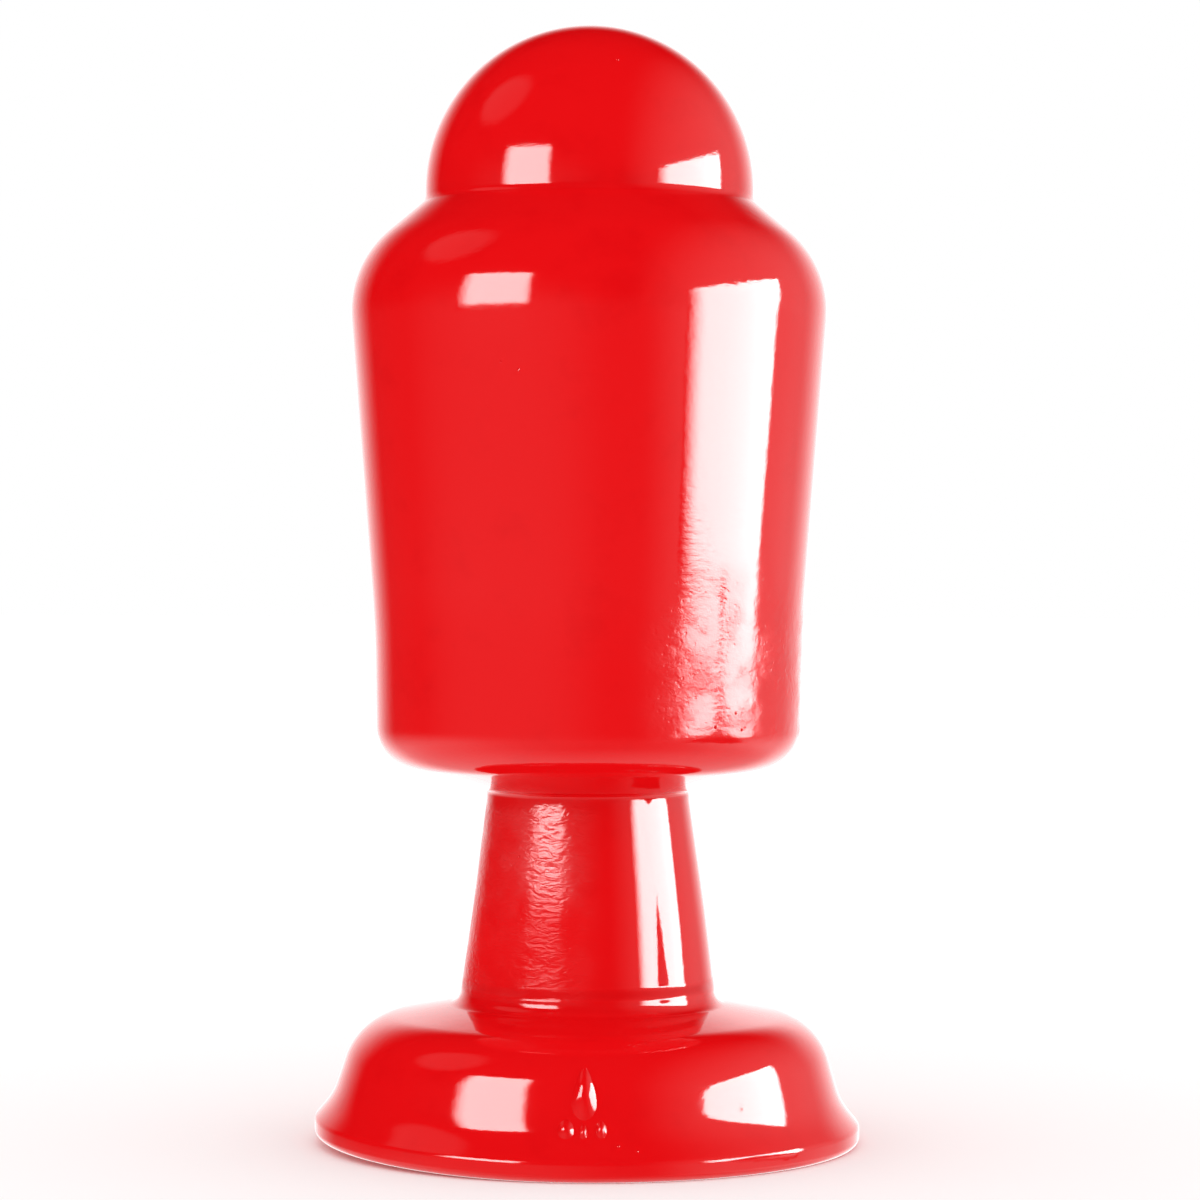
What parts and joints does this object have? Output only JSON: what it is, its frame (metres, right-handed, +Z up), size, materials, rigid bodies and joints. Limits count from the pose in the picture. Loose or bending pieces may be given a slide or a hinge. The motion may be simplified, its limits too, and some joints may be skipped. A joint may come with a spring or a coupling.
{
  "type": "adult toy plug",
  "caption": "Solid soft-vinyl adult toy plug: domed tip, round-shouldered tapering barrel, narrow conical neck and a wide flared foot that it stands on.",
  "frame": {"origin": "centre of the foot's resting plane", "axes": "+Z up the body's axis from the foot to the dome; the body is round about it, and -Y is the side that carries the small mould mark in the visual model"},
  "size_m": [0.0976, 0.0976, 0.2],
  "materials": {
    "red_vinyl": "gloss"
  },
  "bodies": {
    "root": {"moulded_body": "red_vinyl"}
  },
  "joints": []
}
